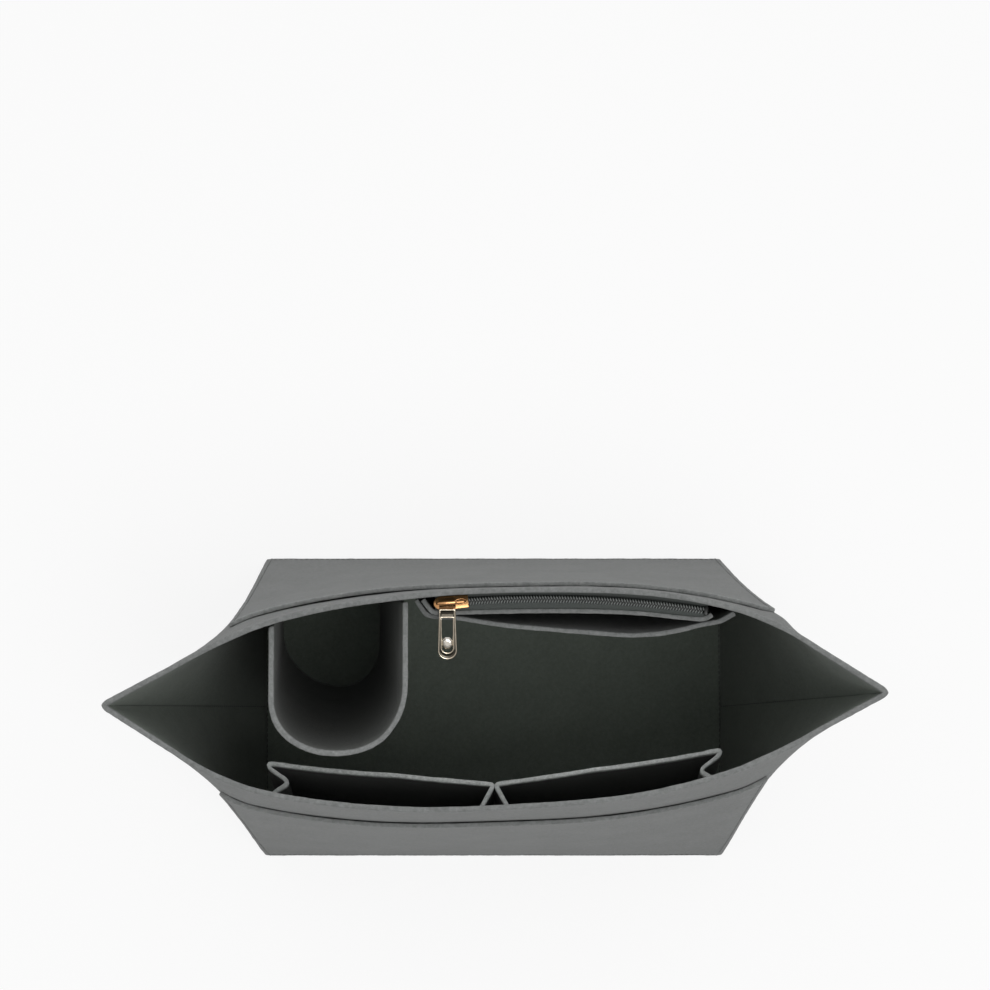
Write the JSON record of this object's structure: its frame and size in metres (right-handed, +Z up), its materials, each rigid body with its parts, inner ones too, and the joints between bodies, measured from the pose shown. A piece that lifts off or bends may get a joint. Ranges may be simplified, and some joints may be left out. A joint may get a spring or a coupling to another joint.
{
  "type": "purse organizer insert",
  "caption": "Boat-shaped felt organizer insert for a tote bag, with a bottle pocket, pleated slip pockets, outer slip pockets and a zip pocket whose slider and pull move.",
  "frame": {"origin": "middle of the underside, on the surface the insert stands on", "axes": "+X along the long side from the bottle pocket's end to the other end, +Y towards the wall with the zip pocket, +Z up"},
  "size_m": [0.414, 0.1848, 0.23],
  "materials": {
    "outer_felt": "grey pressed polyester felt, matt",
    "pocket_felt": "grey pressed polyester felt, matt, cut edges",
    "zipper_tape": "grey woven zipper tape",
    "zipper_coil": "grey nylon coil",
    "slider_gold": "polished warm gold plate",
    "pull_gold": "polished pale gold plate"
  },
  "bodies": {
    "insert": {"base_panel": "outer_felt", "front_body_panel": "outer_felt", "back_body_panel": "outer_felt", "front_outer_pocket": "outer_felt", "back_outer_pocket": "outer_felt", "bottle_pocket": "pocket_felt", "front_left_slip_pocket": "pocket_felt", "front_right_slip_pocket": "pocket_felt", "back_slip_pocket": "pocket_felt", "zip_pocket_panel": "pocket_felt", "zipper_tape_front": "zipper_tape", "zipper_tape_back": "zipper_tape", "zipper_coil_front": "zipper_coil", "zipper_coil_back": "zipper_coil", "zipper_end_stop": "zipper_coil"},
    "slider": {"slider_body": "slider_gold", "slider_bridge": "slider_gold"},
    "pull": {"pull_link": "slider_gold", "pull_tab": "pull_gold", "pull_stud": "pull_gold"}
  },
  "joints": [
    {"name": "slider_travel", "type": "hinge", "parent": "insert", "child": "slider", "pos_m": [0.02483, -0.55887, 0.208], "axis": [0, 0, -1], "range_deg": [0, 11.3]},
    {"name": "pull_swing", "type": "hinge", "parent": "slider", "child": "pull", "pos_m": [-0.02539, 0.05179, 0.21445], "axis": [-0.9969, -0.0787, 0], "range_deg": [0, 114]}
  ]
}
